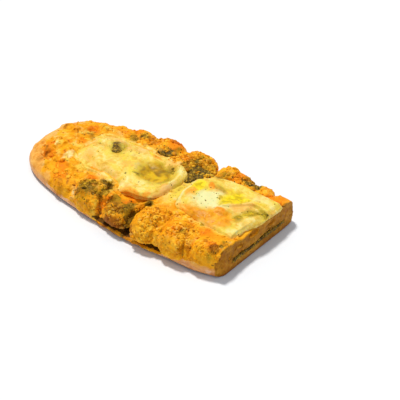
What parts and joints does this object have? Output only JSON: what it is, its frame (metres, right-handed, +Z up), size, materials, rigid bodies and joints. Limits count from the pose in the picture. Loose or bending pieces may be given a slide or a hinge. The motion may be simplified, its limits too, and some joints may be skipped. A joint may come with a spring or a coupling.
{
  "type": "brie pull-apart bread",
  "caption": "Long flat bread with a round end and a cut end, pesto filling, pull-off lobes along both sides, slices of melted brie and browned cheese on top.",
  "frame": {"origin": "middle of the base's bounding rectangle, on the surface that the loaf lies on", "axes": "+X along the loaf from its round tip to the cut end, +Y across it to the side that is folded shut, +Z up"},
  "size_m": [0.2126, 0.1094, 0.0291],
  "materials": {
    "bread": "baked dough under browned grated cheese, matte with oily spots",
    "brie": "melted soft cheese, smooth and slightly oily",
    "pesto": "dark green herb paste, grainy and moist"
  },
  "bodies": {
    "root": {"bread": "bread", "pesto_filling": "pesto", "brie_left": "brie", "brie_right": "brie", "pesto_middle": "pesto", "pesto_back": "pesto", "pesto_edge": "pesto", "pesto_hole": "pesto"}
  },
  "joints": []
}
